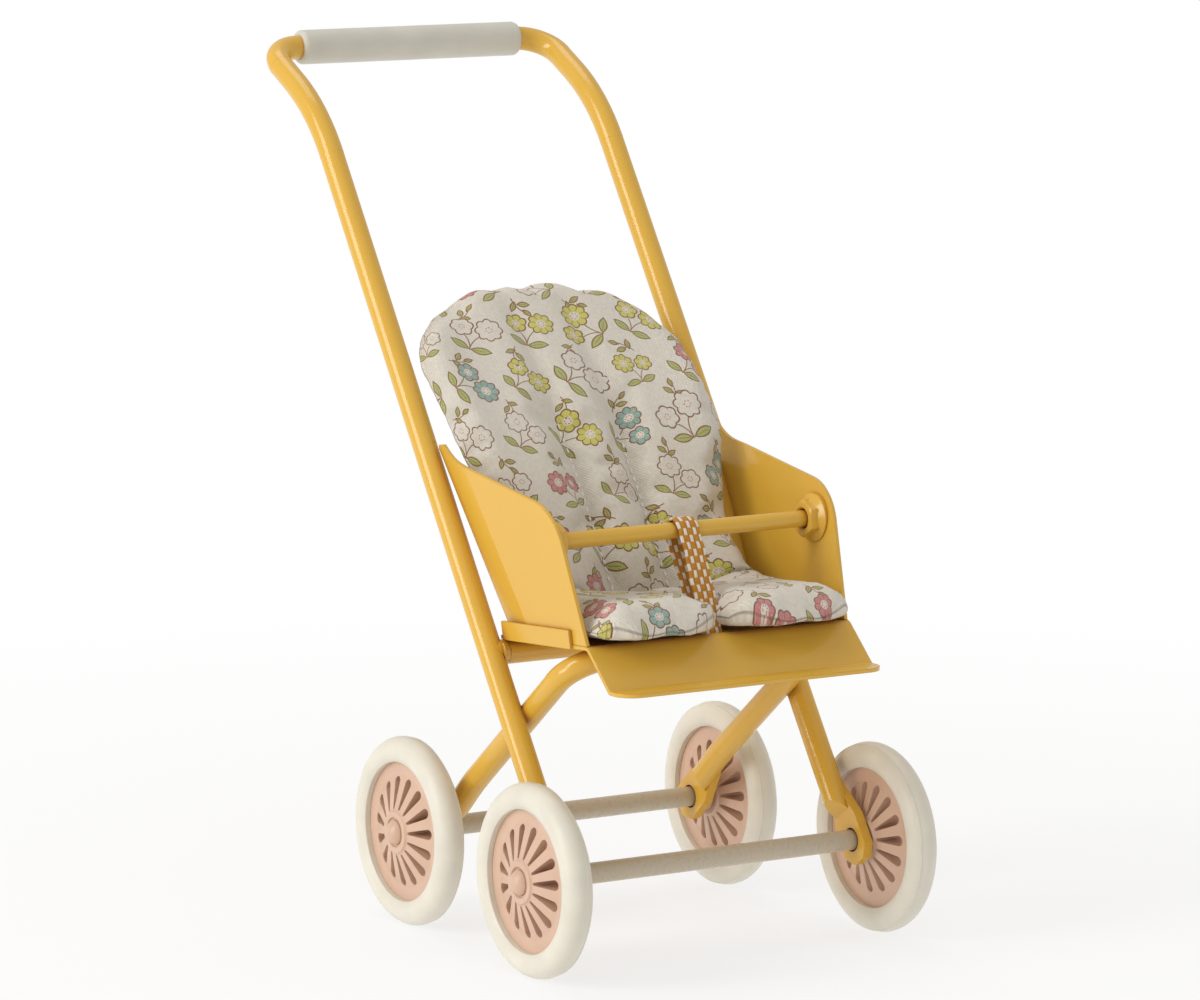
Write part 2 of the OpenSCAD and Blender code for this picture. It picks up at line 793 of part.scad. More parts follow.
module spacer(side) {
    start = rear_leg_x + tube_r + side_play / 2;
    color("rosybrown")
        on_axle(side * start, wheelbase)
        difference() {
            cylinder(r = axle_r + 1.3, h = spacer_len);
            translate([0, 0, -1]) cylinder(r = axle_r, h = spacer_len + 2);
        }
}

module front_axle() { axle(front_hub_x, 0); }
module rear_axle() { axle(rear_hub_x, wheelbase); }
module front_hub_left() { hub(-front_hub_x, 0); }
module front_hub_right() { hub(front_hub_x, 0); }
module rear_hub_left() { hub(-rear_hub_x, wheelbase); }
module rear_hub_right() { hub(rear_hub_x, wheelbase); }
module front_tyre_left() { tyre(-front_hub_x, 0); }
module front_tyre_right() { tyre(front_hub_x, 0); }
module rear_tyre_left() { tyre(-rear_hub_x, wheelbase); }
module rear_tyre_right() { tyre(rear_hub_x, wheelbase); }
module front_cap_left() { cap(-front_hub_x, 0); }
module front_cap_right() { cap(front_hub_x, 0); }
module rear_cap_left() { cap(-rear_hub_x, wheelbase); }
module rear_cap_right() { cap(rear_hub_x, wheelbase); }
module rear_spacer_left() { spacer(-1); }
module rear_spacer_right() { spacer(1); }

handle_tube();
rear_leg_tube();
seat_crossbar();
frame_welds();
handle_grip();
seat_plate();
seat_back();
side_panel_left();
side_panel_right();
bumper_nut_left();
bumper_nut_right();
bumper_bar();
cushion_seat();
cushion_back();
harness_strap();
strap_stop();
front_axle();
front_hub_left();
front_hub_right();
front_tyre_left();
front_tyre_right();
front_cap_left();
front_cap_right();
rear_axle();
rear_hub_left();
rear_hub_right();
rear_tyre_left();
rear_tyre_right();
rear_cap_left();
rear_cap_right();
rear_spacer_left();
rear_spacer_right();
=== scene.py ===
# %% [markdown]
# # A doll stroller, finished for looks
# The stroller's metal and plastic pieces are already made, as exact shapes in metres. This lesson
# gives them their finishes, and adds the sewn pieces that exact shapes are poor at: the quilted
# cushion and the woven strap.

# %% Load the finished shapes
import json
import math
import bmesh
import bpy
from mathutils import Matrix, Vector


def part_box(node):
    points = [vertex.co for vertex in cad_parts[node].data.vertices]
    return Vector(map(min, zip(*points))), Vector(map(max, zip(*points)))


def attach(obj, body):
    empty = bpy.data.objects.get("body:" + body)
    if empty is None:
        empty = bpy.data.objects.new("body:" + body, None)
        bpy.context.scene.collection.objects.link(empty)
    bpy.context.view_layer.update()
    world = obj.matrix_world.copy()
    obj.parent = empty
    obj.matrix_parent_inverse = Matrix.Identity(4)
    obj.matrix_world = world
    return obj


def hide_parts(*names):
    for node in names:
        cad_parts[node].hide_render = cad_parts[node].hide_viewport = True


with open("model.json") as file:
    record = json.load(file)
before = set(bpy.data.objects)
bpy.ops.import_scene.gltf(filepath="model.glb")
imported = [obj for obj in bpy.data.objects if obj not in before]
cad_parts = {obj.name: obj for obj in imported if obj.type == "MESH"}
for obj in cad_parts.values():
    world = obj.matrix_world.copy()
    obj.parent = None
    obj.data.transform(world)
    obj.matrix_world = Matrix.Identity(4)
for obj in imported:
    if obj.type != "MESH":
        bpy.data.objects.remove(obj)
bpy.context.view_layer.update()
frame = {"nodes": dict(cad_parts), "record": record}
pieces = frame["nodes"]

# %% [markdown]
# ## Camera
# A long lens a good way off keeps the near and far wheels almost the same size. The camera stands
# on a sphere round the stroller, so its place follows from two angles, a distance and the point
# it looks at.

# %% Camera
def middle_of(node):
    """The middle of a node's box."""
    low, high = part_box(node)
    return (low + high) / 2


aim = middle_of("front_axle") + Vector((-0.00884, 0.03461, 0.08191))
azimuth, elevation, distance = math.radians(-31.359), math.radians(8.52), 1.3791
away = Vector((math.sin(azimuth) * math.cos(elevation),
               -math.cos(azimuth) * math.cos(elevation), math.sin(elevation)))
camera_data = bpy.data.cameras.new("camera")
camera_data.lens = 173.38
camera_data.clip_start = 0.01
camera = bpy.data.objects.new("camera", camera_data)
camera.location = aim + away * distance
camera.rotation_euler = (math.pi / 2 - elevation, 0, azimuth)
bpy.context.collection.objects.link(camera)
bpy.context.scene.camera = camera
print("camera at", tuple(round(c, 4) for c in camera.location))

# %% [markdown]
# ## Light
# Glossy tubes show their lights as stripes. One tall soft box at the left draws the long pale
# stripe down each tube, a weaker one overhead lifts the top edges, and a pale sky fills the rest.

# %% Lights
bpy.context.scene.view_settings.view_transform = "Standard"


def soft_box(name, place, target, wide, tall, watts):
    """A rectangular lamp that faces its target."""
    data = bpy.data.lights.new(name, "AREA")
    data.shape = "RECTANGLE"
    data.size, data.size_y, data.energy = wide, tall, watts
    lamp = bpy.data.objects.new(name, data)
    lamp.location = place
    lamp.rotation_euler = (Vector(target) - Vector(place)).to_track_quat("-Z", "Y").to_euler()
    bpy.context.collection.objects.link(lamp)


soft_box("left_soft_box", (-1.6, 0.08, 0.75), (0, 0, 0.12), 0.62, 1.5, 17)
soft_box("top_soft_box", (0.1, 0.5, 1.7), (0, 0, 0.1), 0.9, 0.9, 5)

# %% [markdown]
# The sky is white where the camera looks straight at it and a little dimmer as a light, so that
# the shaded sides keep some depth.

# %% Sky
light_level, seen_level = 0.66, 1.0
world = bpy.data.worlds.new("pale_sky")
bpy.context.scene.world = world
world.use_nodes = True
sky_nodes, sky_links = world.node_tree.nodes, world.node_tree.links
sky = sky_nodes["Background"]
sky.inputs["Color"].default_value = (1, 0.985, 0.965, 1)
ray = sky_nodes.new("ShaderNodeLightPath")
level = sky_nodes.new("ShaderNodeMapRange")
level.inputs["To Min"].default_value = light_level
level.inputs["To Max"].default_value = seen_level
sky_links.new(ray.outputs["Is Camera Ray"], level.inputs["Value"])
sky_links.new(level.outputs["Result"], sky.inputs["Strength"])

# %% [markdown]
# ## Writing finishes as formulas
# A procedural finish is a small formula drawn as boxes and wires. These helpers add one box at a
# time and let a formula read from the inside out.

# %% Finish helpers
def start_finish(name, colour, roughness):
    """A new material, its tree of boxes and its main shader."""
    finish = bpy.data.materials.new(name)
    finish.use_nodes = True
    tree = finish.node_tree
    skin = tree.nodes["Principled BSDF"]
    skin.inputs["Base Color"].default_value = (*colour, 1)
    skin.inputs["Roughness"].default_value = roughness
    return finish, tree, skin


def add(tree, kind, inputs=(), **settings):
    """A new box. An input is a number or colour, or another box's output to wire in."""
    box = tree.nodes.new(kind)
    for key, value in settings.items():
        setattr(box, key, value)
    for key, value in dict(inputs).items():
        if isinstance(value, bpy.types.NodeSocket):
            tree.links.new(value, box.inputs[key])
        else:
            box.inputs[key].default_value = value
    return box


def blend_colour(tree, amount, below, above, blend_type="MIX"):
    """One colour laid over another, from none of it at 0 to all of it at 1."""
    box = tree.nodes.new("ShaderNodeMix")
    box.data_type, box.blend_type, box.clamp_result = "RGBA", blend_type, False
    for key, value in ((0, amount), (6, below), (7, above)):
        if isinstance(value, bpy.types.NodeSocket):
            tree.links.new(value, box.inputs[key])
        else:
            box.inputs[key].default_value = (*value, 1) if isinstance(value, tuple) else value
    return box.outputs[2]


def here(tree):
    """The place on the object, in metres."""
    return add(tree, "ShaderNodeTexCoord").outputs["Object"]


def noise(tree, place, scale, detail=2):
    return add(tree, "ShaderNodeTexNoise", {"Vector": place, "Scale": scale, "Detail": detail})


def spread(tree, cloud, low, high):
    """A noise keeps mostly between 0.3 and 0.7, so that stretch is spread from low to high."""
    box = add(tree, "ShaderNodeMapRange", {"Value": cloud.outputs["Fac"], "From Min": 0.3,
                                           "From Max": 0.7, "To Min": low, "To Max": high})
    return box.outputs["Result"]


def mottled(tree, colour, cloud, low, high):
    """A colour whose brightness wanders with a noise."""
    box = add(tree, "ShaderNodeHueSaturation", {"Value": spread(tree, cloud, low, high),
                                                "Color": (*colour, 1)})
    return box.outputs["Color"]


def bump(tree, skin, height, depth, strength, soft_edges=None):
    """Makes light fall as if the surface rose by height times depth."""
    box = add(tree, "ShaderNodeBump", {"Height": height, "Distance": depth, "Strength": strength})
    if soft_edges:
        rounded = add(tree, "ShaderNodeBevel", {"Radius": soft_edges}, samples=6)
        tree.links.new(rounded.outputs["Normal"], box.inputs["Normal"])
    tree.links.new(box.outputs["Normal"], skin.inputs["Normal"])


# %% [markdown]
# ## Powder coat
# Powder coat is melted on, so it runs round every edge and dries with a faint orange-peel wave.
# A Bevel box rounds the sheet metal's edges for light only, and the tubes, which have no edges,
# go without it. One noise gives the wave and a finer one the specks. Shade is painted into the
# colour: it turns towards a deeper tone in corners and gaps, which an occlusion box finds.

# %% Yellow powder coat
def powder_coat(name, colour, deep, roughness, soft_edges=None):
    finish, tree, skin = start_finish(name, colour, roughness)
    place = here(tree)
    clouds, grain, wave = noise(tree, place, 90, 3), noise(tree, place, 2600), noise(tree, place, 620)
    tone = mottled(tree, colour, clouds, 0.99, 1.01)
    # Painted shade: where the occlusion box finds a corner or gap, the colour turns to the deep tone.
    corner = add(tree, "ShaderNodeAmbientOcclusion", {"Distance": 0.0035}, samples=6)
    unshaded_share = add(tree, "ShaderNodeMapRange", {"Value": corner.outputs["AO"], "From Min": 0.25,
                                                "From Max": 0.85})
    colour_out = blend_colour(tree, unshaded_share.outputs["Result"], deep, tone)
    speck = add(tree, "ShaderNodeMapRange", {"Value": grain.outputs["Fac"], "From Min": 0.62,
                                             "From Max": 0.8, "To Min": 1.0, "To Max": 0.97})
    colour_out = blend_colour(tree, 1.0, colour_out, speck.outputs["Result"], "MULTIPLY")
    tree.links.new(colour_out, skin.inputs["Base Color"])
    gloss = spread(tree, wave, roughness - 0.03, roughness + 0.04)
    tree.links.new(gloss, skin.inputs["Roughness"])
    bump(tree, skin, wave.outputs["Fac"], 0.000004, 0.25, soft_edges=soft_edges)
    return finish


# The second colour of each coat is the painted shade laid into its corners and gaps.
yellow, yellow_painted_shade = (0.68, 0.395, 0.05), (0.42, 0.17, 0.014)
yellow_coat = powder_coat("yellow_sheet_coat", yellow, yellow_painted_shade, 0.2, soft_edges=0.0004)
tube_coat = powder_coat("yellow_tube_coat", yellow, yellow_painted_shade, 0.17)
axle_coat = powder_coat("axle_stone_coat", (0.50, 0.43, 0.32), (0.2, 0.14, 0.08), 0.28)

# %% [markdown]
# ## Moulded plastics
# The wheels are two plastics: a soft ivory tyre and a harder pink hub. The grips are a third, in
# stone grey. All let a little light in, which a small amount of subsurface scatter shows, and
# all are slightly satin.

# %% Wheel and grip plastics
def moulded(name, colour, roughness, glow, grain_scale, grain_depth):
    finish, tree, skin = start_finish(name, colour, roughness)
    skin.inputs["Subsurface Weight"].default_value = glow
    skin.inputs["Subsurface Radius"].default_value = (1.0, 0.75, 0.5)
    skin.inputs["Subsurface Scale"].default_value = 0.0012
    place = here(tree)
    clouds, grain = noise(tree, place, 140, 4), noise(tree, place, grain_scale, 3)
    tree.links.new(mottled(tree, colour, clouds, 0.96, 1.04), skin.inputs["Base Color"])
    gloss = spread(tree, grain, roughness - 0.05, roughness + 0.05)
    tree.links.new(gloss, skin.inputs["Roughness"])
    bump(tree, skin, grain.outputs["Fac"], grain_depth, 0.7, soft_edges=0.0002)
    return finish


tyre_plastic = moulded("ivory_tyre", (0.70, 0.66, 0.56), 0.42, 0.25, 700, 0.00003)
hub_plastic = moulded("pink_hub", (0.62, 0.415, 0.30), 0.36, 0.15, 1500, 0.00002)
grip_plastic = moulded("stone_grip", (0.58, 0.56, 0.48), 0.42, 0.05, 3200, 0.00004)

# %% [markdown]
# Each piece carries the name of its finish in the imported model's record, so one table puts them
# on. The round tubes share a slot with the sheet metal and then get the coat without soft edges.

# %% Put the finishes on
finish_of_slot = {
    "yellow_paint": yellow_coat, "axle_paint": axle_coat, "grip_plastic": grip_plastic,
    "hub_plastic": hub_plastic, "tyre_soft": tyre_plastic,
}
for part in frame["record"]["subparts"]:
    if part["material_slot"] in finish_of_slot:
        skin_list = pieces[part["node"]].data.materials
        skin_list.clear()
        skin_list.append(finish_of_slot[part["material_slot"]])
for node in ("handle_tube", "rear_leg_tube", "seat_crossbar", "bumper_bar"):
    pieces[node].data.materials[0] = tube_coat
print("finishes on", len(finish_of_slot), "kinds of piece")

# %% [markdown]
# ## Printed cotton
# The cushion is natural linen-cotton twill, printed with sprigs: two scalloped flowers on thin
# brown stems with two lime leaves. The print is drawn with distances in millimetres on the flat
# cut, so it bends with the cloth. Each square of a grid holds one sprig, turned and coloured by
# its own number, and a second grid between the first holds the small fillers.

# %% A value that can be reckoned with
class Value:
    """A number in a finish, so that a formula reads as one."""
    def __init__(self, tree, socket):
        self.tree, self.socket = tree, socket

    def op(self, operation, *others):
        raw = [other.socket if isinstance(other, Value) else other for other in others]
        box = add(self.tree, "ShaderNodeMath", enumerate([self.socket, *raw]), operation=operation)
        return Value(self.tree, box.outputs[0])

    def __add__(self, other):
        return self.op("ADD", other)

    def __sub__(self, other):
        return self.op("SUBTRACT", other)

    def __mul__(self, other):
        return self.op("MULTIPLY", other)

    def __truediv__(self, other):
        return self.op("DIVIDE", other)

    def size(self):
        return self.op("ABSOLUTE")

    def below(self, limit, soft=0.06):
        """1 under the limit, 0 over it, with a soft edge."""
        box = add(self.tree, "ShaderNodeMapRange", {"Value": self.socket, "From Min": limit - soft,
                                                    "From Max": limit + soft, "To Min": 1.0,
                                                    "To Max": 0.0})
        return Value(self.tree, box.outputs["Result"])


def either(first, second):
    return first.op("MAXIMUM", second)


# %% [markdown]
# Leaves, stems and flowers are masks: 1 where there is ink and 0 where there is none. Each is
# written as a distance from a line or a rim, kept where that distance is small.

# %% One leaf, one stem and one flower
outline = 0.17


def turned(x, y, degrees):
    """The same place, measured along a direction and across it."""
    cos, sin = math.cos(math.radians(degrees)), math.sin(math.radians(degrees))
    return x * cos + y * sin, y * cos - x * sin


def leaf(x, y, start, degrees, length, width):
    """Fill and outline of a pointed leaf that starts at a point and grows at an angle."""
    along, across = turned(x - start[0], y - start[1], degrees)
    share = (along / length).op("MAXIMUM", 0.0).op("MINIMUM", 1.0)
    edge = share * (share * -1 + 1) * (4 * width)
    inside = across.size() - edge
    past = (along - length / 2).size() - length / 2
    inside = either(inside, past)
    rib = across.size().below(0.07) * (along - length * 0.42).size().below(length * 0.3)
    return inside.below(0.0), either(inside.size().below(outline), rib * inside.below(0.0))


def stem(x, y, start, degrees, length, bow):
    """A thin bowed line."""
    along, across = turned(x - start[0], y - start[1], degrees)
    bent = across - along * (along * -1 + length) * (4 * bow / length ** 2)
    return bent.size().below(0.13) * (along - length / 2).size().below(length / 2)


def flower(x, y, middle, radius, petals):
    """Fill, outline, dotted ring and petal lines of a scalloped flower."""
    right, up = x - middle[0], y - middle[1]
    far = (right * right + up * up).op("SQRT")
    swing = up.op("ARCTAN2", right)
    scallop = (swing * (petals / 2)).op("SINE").size()
    rim = far - (scallop * 0.2 + 0.82) * radius
    ring = (far - radius * 0.24).size().below(0.1) * (swing * 6).op("SINE").op("GREATER_THAN", -0.2)
    nick = (scallop.below(0.2, 0.1) * (far - radius * 0.62).size().below(radius * 0.16)) * 0.8
    open_heart = ((far - radius * 0.38).below(0.0) - 1.0).size()
    return rim.below(-0.08) * open_heart, rim.size().below(outline), ring, nick


# %% A square for each sprig
def sprig_squares(tree, u, v, cell, shift, seed, least_turn, turn_range):
    """Place inside each square of a grid, turned, mirrored and sized by the square's own number,
    and a share that picks its colour. Alternate rows are shifted by half a square."""
    row = (v / cell + shift).op("FLOOR")
    slide = (row * 0.5).op("FRACT")
    column_at = u / cell + slide + shift
    column = column_at.op("FLOOR")
    number = add(tree, "ShaderNodeCombineXYZ", {0: column.socket, 1: row.socket, 2: seed})
    dice = add(tree, "ShaderNodeTexWhiteNoise", {"Vector": number.outputs[0]})
    throws = add(tree, "ShaderNodeSeparateColor", {"Color": dice.outputs["Color"]})
    spin, kind, bold = (Value(tree, throws.outputs[key]) for key in range(3))
    angle = spin * turn_range + least_turn
    right = (column_at - column - 0.5) * cell
    up = (v / cell + shift - row - 0.5) * cell
    cos, sin = angle.op("COSINE"), angle.op("SINE")
    mirror = bold.op("GREATER_THAN", 0.5) * 2 - 1
    scale = bold * 0.34 + 0.86
    return (right * cos + up * sin) * mirror * scale, (up * cos - right * sin) * scale, kind


# %% Ink
linen = (0.73, 0.675, 0.575)
brown, deep_brown, lime = (0.25, 0.105, 0.025), (0.22, 0.075, 0.03), (0.37, 0.43, 0.075)
ochre, chalk, teal, rose = ((0.58, 0.54, 0.055), (0.66, 0.60, 0.50),
                            (0.22, 0.38, 0.325), (0.56, 0.17, 0.17))
madder = (0.50, 0.12, 0.10)


def paint(tree, colour, mask, ink):
    return blend_colour(tree, mask.socket, colour, ink)


def print_leaves(tree, colour, patch, stems, leaves):
    """Brown stems and lime leaves. The patch mask leaves the fills a little worn."""
    colour = paint(tree, colour, stems, brown)
    for fill, line in leaves:
        colour = paint(tree, colour, fill * patch, lime)
        colour = paint(tree, colour, line, brown)
    return colour


def print_flowers(tree, colour, cloth, patch, kind, flowers):
    """Flowers in one of four inks, or in outline only for a few of them."""
    ramp = add(tree, "ShaderNodeValToRGB", {"Fac": kind.socket})
    stops = ramp.color_ramp
    stops.interpolation = "CONSTANT"
    for at, ink in ((0.0, ochre), (0.36, chalk), (0.74, teal), (0.88, rose)):
        stop = stops.elements[0] if at == 0 else stops.elements.new(at)
        stop.position, stop.color = at, (*ink, 1)
    stops.elements.remove(stops.elements[-1])
    filled = (kind - 0.55).size().below(0.19, 0.001) * -1 + 1
    for fill, line, ring, nick in flowers:
        colour = blend_colour(tree, either(fill, line).socket, colour, cloth)
        colour = blend_colour(tree, (fill * filled * patch).socket, colour, ramp.outputs["Color"])
        colour = paint(tree, colour, nick * filled, brown)
        colour = paint(tree, colour, line, deep_brown)
        colour = paint(tree, colour, ring, madder)
    return colour


# %% [markdown]
# A filler is one stem with three leaves, turned any way up. A sprig is two flowers on two stems
# with two leaves, and leans less. The fillers are printed first, so the sprigs lie over them.

# %% Fillers and sprigs over the cloth
def print_fillers(tree, colour, patch, u, v, cell):
    x, y, _ = sprig_squares(tree, u, v, cell, 0.87, 7.3, 0, 2 * math.pi)
    stems = stem(x, y, (0, -2.6), 90, 4.6, 0.4)
    leaves = [leaf(x, y, (0.1, -0.6), 35, 2.6, 0.6), leaf(x, y, (0, -1.4), 148, 2.5, 0.55),
              leaf(x, y, (0.1, 1.2), 80, 2.2, 0.5)]
    return print_leaves(tree, colour, patch, stems, leaves)


def print_sprigs(tree, colour, cloth, patch, u, v, cell):
    x, y, kind = sprig_squares(tree, u, v, cell, 0.37, 2.1, -1.5, 3.0)
    stems = either(stem(x, y, (0.3, -4.6), 106, 5.0, -0.5), stem(x, y, (0.3, -4.6), 62, 4.6, 0.5))
    leaves = [leaf(x, y, (0.0, -4.3), 172, 4.6, 0.95), leaf(x, y, (0.6, -4.3), 14, 4.4, 0.95)]
    flowers = [flower(x, y, (-2.5, 2.7), 3.1, 8), flower(x, y, (3.5, 1.6), 2.6, 6)]
    colour = print_leaves(tree, colour, patch, stems, leaves)
    return print_flowers(tree, colour, cloth, patch, kind, flowers)


# %% [markdown]
# The cloth under the print is a twill: thick and thin threads slant across each other. Two sine
# waves draw them, and a noise makes some threads fatter, as linen is. A brown line of painted
# shade follows the seam, where the cloth turns under, and the same line sinks in the bump.

# %% Printed cotton
sprig_cell = 15.0
twill_width, cross_width = 0.62, 0.38
printed_cotton, tree, skin = start_finish("printed_cotton", linen, 0.85)
cut = add(tree, "ShaderNodeUVMap", uv_map="cut")
in_mm = add(tree, "ShaderNodeVectorMath", {0: cut.outputs["UV"], "Scale": 1000.0}, operation="SCALE")
apart = add(tree, "ShaderNodeSeparateXYZ", {"Vector": in_mm.outputs["Vector"]})
u, v = Value(tree, apart.outputs["X"]), Value(tree, apart.outputs["Y"])
slub = noise(tree, in_mm.outputs["Vector"], 0.9, 6)
fleck = Value(tree, noise(tree, in_mm.outputs["Vector"], 5.0).outputs["Fac"])
plain = blend_colour(tree, 1.0, linen, spread(tree, slub, 0.94, 1.05), "MULTIPLY")
wobble = fleck * 0.22 - 0.11
patch = (fleck * -1).below(-0.36, 0.1) * 0.95
colour = print_fillers(tree, plain, patch, u + wobble, v + wobble, sprig_cell)
colour = print_sprigs(tree, colour, plain, patch, u + wobble, v + wobble, sprig_cell)
twill = ((u + v * 0.8) * (2 * math.pi / twill_width)).op("SINE")
cross = ((u - v * 0.6) * (2 * math.pi / cross_width)).op("SINE")
weave = twill * 0.6 + cross * 0.4 + fleck * 1.2
shade = add(tree, "ShaderNodeMapRange", {"Value": weave.socket, "From Min": -1.0, "From Max": 2.0,
                                         "To Min": 0.80, "To Max": 1.12})
colour = blend_colour(tree, 1.0, colour, shade.outputs["Result"], "MULTIPLY")
layer_of = add(tree, "ShaderNodeAttribute", attribute_name="layer")
# Painted shade: a brown line along the seam where the cloth turns under; it also makes a groove in the
# bump.
seam = (Value(tree, layer_of.outputs["Fac"]) - 0.2).size().below(0.16, 0.1)
colour = paint(tree, colour, seam * 0.5, (0.20, 0.13, 0.08))
tree.links.new(colour, skin.inputs["Base Color"])
skin.inputs["Sheen Weight"].default_value = 0.25
skin.inputs["Sheen Roughness"].default_value = 0.6
bump(tree, skin, (weave - seam * 4).socket, 0.00011, 0.8)

# %% [markdown]
# ## The quilted cushion: pattern and flat pad
# The real cushion is one padded piece that runs from the front of the seat up the back, with a
# slit for the strap between two front lobes and two rows of stitches up the middle. It is made
# the way it is sewn: cut flat, given a second layer, folded into the seat, then filled. The flat
# cut is kept as a UV map, so that the printed flowers follow the cloth. Distances along the pad
# are called its run: nought at the fold, less than nought on the seat, more up the back.

# %% Measure the seat
MM = 0.001
crossbar = middle_of("seat_crossbar")
seat_slope, back_slope, top_slope = (math.radians(turn) for turn in (-4.23, 55.7, 42.7))
fold = Vector((0, crossbar.y - 3.1 * MM, crossbar.z + 4.6 * MM))
front_run, back_run, fold_radius = 40.0 * MM, 94.5 * MM, 11 * MM
print("cushion lies from", round(front_run / MM, 1), "mm in front of its fold to",
      round(back_run / MM, 1), "mm up the back")


# %% Path of the cushion's underside
def ease(value, start, end):
    """From 0 at start to 1 at end, level at both."""
    share = max(0.0, min(1.0, (value - start) / (end - start)))
    return share * share * (3 - 2 * share)


def slope_at(run):
    """Slope of the underside: level seat, bend, back, and a top that leans out a little less."""
    reach = fold_radius * math.tan((back_slope - seat_slope) / 2)
    bend = max(0.0, min(1.0, (run + reach) / (2 * reach)))
    droop = math.radians(16) * ease(-run, 33 * MM, 42 * MM)
    lean = (back_slope - top_slope) * ease(run, 38 * MM, 62 * MM)
    return seat_slope + droop + (back_slope - seat_slope) * bend - lean


path_step, path_length = 0.25 * MM, 130 * MM
path = {0: (fold + Vector((0, -2.2 * MM, 2.9 * MM)), slope_at(0))}
for way in (-1, 1):
    place = path[0][0]
    for step in range(1, round(path_length / path_step)):
        run = way * step * path_step
        slope = slope_at(run - way * path_step / 2)
        place = place + way * path_step * Vector((0, math.cos(slope), math.sin(slope)))
        path[way * step] = (place, slope_at(run))


def pad_path(run):
    """Point and slope on the underside, run metres up from the fold (negative is the seat)."""
    return path[round(run / path_step)]


# %% [markdown]
# A grid is cut to the outline by sliding its rows in: straight sides, a round top, and two lobes
# at the front whose corners draw back. The two middle columns at the front are cut out for the
# strap.

# %% Outline of the flat pad
columns, seat_rows, back_rows, top_rows = 46, 18, 38, 16
row_count = seat_rows + back_rows + top_rows
round_from, top_swing = 69 * MM, math.radians(86)
wide, top_wide, neck_in = 34.6 * MM, 36.0 * MM, 6.2 * MM


def row_run(row):
    """How far up the pad a row of the grid lies. The top rows crowd together on a quarter turn."""
    if row <= seat_rows:
        return -front_run * (1 - row / seat_rows)
    if row <= seat_rows + back_rows:
        return round_from * (row - seat_rows) / back_rows
    swing = top_swing * (row - seat_rows - back_rows) / top_rows
    return round_from + (back_run - round_from) * math.sin(swing)


def row_half(row):
    """Half the width of a row: wide on the seat, a neck at the fold, widest up the back."""
    if row <= seat_rows + back_rows:
        run = row_run(row)
        neck = (1 - ease(run, 14 * MM, 48 * MM)) * ease(run, -14 * MM, 8 * MM)
        return wide - neck_in * neck + (top_wide - wide) * ease(run, 34 * MM, 52 * MM)
    swing = top_swing * (row - seat_rows - back_rows) / top_rows
    return top_wide * math.cos(swing) ** 0.96


# %% Cut the flat pad
slit_rows = 8.5
lobe_middle, inner_draw, outer_draw = 0.55, 8.5 * MM, 5.0 * MM
slit_gap, slit_reach = 0.5 * MM, 5 * MM

pad = bmesh.new()
bmesh.ops.create_grid(pad, x_segments=columns, y_segments=row_count, size=1)
cut_map = pad.loops.layers.uv.new("cut")
slit = []
for face in pad.faces:
    middle = face.calc_center_median()
    if abs(middle.x) < 1.9 / columns and (middle.y + 1) / 2 * row_count < slit_rows:
        slit.append(face)
bmesh.ops.delete(pad, geom=slit, context="FACES")
for corner in pad.verts:
    across, row = corner.co.x, round((corner.co.y + 1) / 2 * row_count)
    run, x = row_run(row), across * row_half(row)
    if run < 0:
        lobe_half = lobe_middle if abs(x) < lobe_middle * wide else 1 - lobe_middle
        lobe = min(1, abs(abs(x) / wide - lobe_middle) / lobe_half)
        draw = inner_draw if abs(x) < wide / 2 else outer_draw
        run += (run / front_run) ** 2 * draw * lobe ** 3.2
        x += math.copysign(slit_gap, x) * (run / -front_run) * max(0, 1 - abs(x) / slit_reach)
    if x < 0:
        shoulder = ease(run, 20 * MM, 44 * MM)
        waist = ease(run, 8 * MM, 24 * MM) * (1 - ease(run, 24 * MM, 46 * MM))
        x *= 1 + 0.02 * shoulder + 0.14 * waist
    corner.co = Vector((x, run, 0))
print("flat pad:", len(pad.faces), "faces")

# %% [markdown]
# The second layer is an extrusion. Between the seam round the edge and the stitches, the layers
# part, most in the middle of each channel. The whole is then rolled onto the seat's path, with the
# sides of the back curling forward like wings.

# %% Second layer, filling and fold
stitch_x, stitch_top = 7.8 * MM, 50 * MM


def swell_of(x, run, half):
    """From 0 at a seam to 1 a few millimetres in from it."""
    edge = half - abs(x)
    if run > round_from:
        edge = min(edge, (back_run - run) * 0.9)
    if run < 0:
        edge = min(edge, run + front_run)
        edge = min(edge, max(0, abs(x) - 1.2 * MM) if run < -12 * MM else 99)
    return math.sqrt(max(0, min(1, 1 - (1 - min(1, edge / (6 * MM))) ** 2)))


def fill_of(x, run, swell):
    """How far apart the layers stand at a flat place."""
    valley = math.exp(-((abs(x) - stitch_x) / (2.6 * MM)) ** 2) * (1 - ease(run, 80 * MM, 93 * MM))
    fade = 1 if run < stitch_top else math.exp(-(run - stitch_top) / (34 * MM))
    if run < -6 * MM:
        fade *= max(0, 1 - (-6 * MM - run) / (8 * MM))
    crease = math.exp(-((run - 3 * MM) / (7 * MM)) ** 2) * (1 - ease(abs(x), 10 * MM, 22 * MM))
    crease += 0.75 * math.exp(-((x + 24 * MM) / (6.5 * MM)) ** 2) * ease(run, 30 * MM, 60 * MM)
    deep = (6.3 if run < 0 else 4.8) * MM
    return 0.7 * MM + deep * swell * (1 - 0.72 * valley * fade) * (1 - 0.45 * crease)


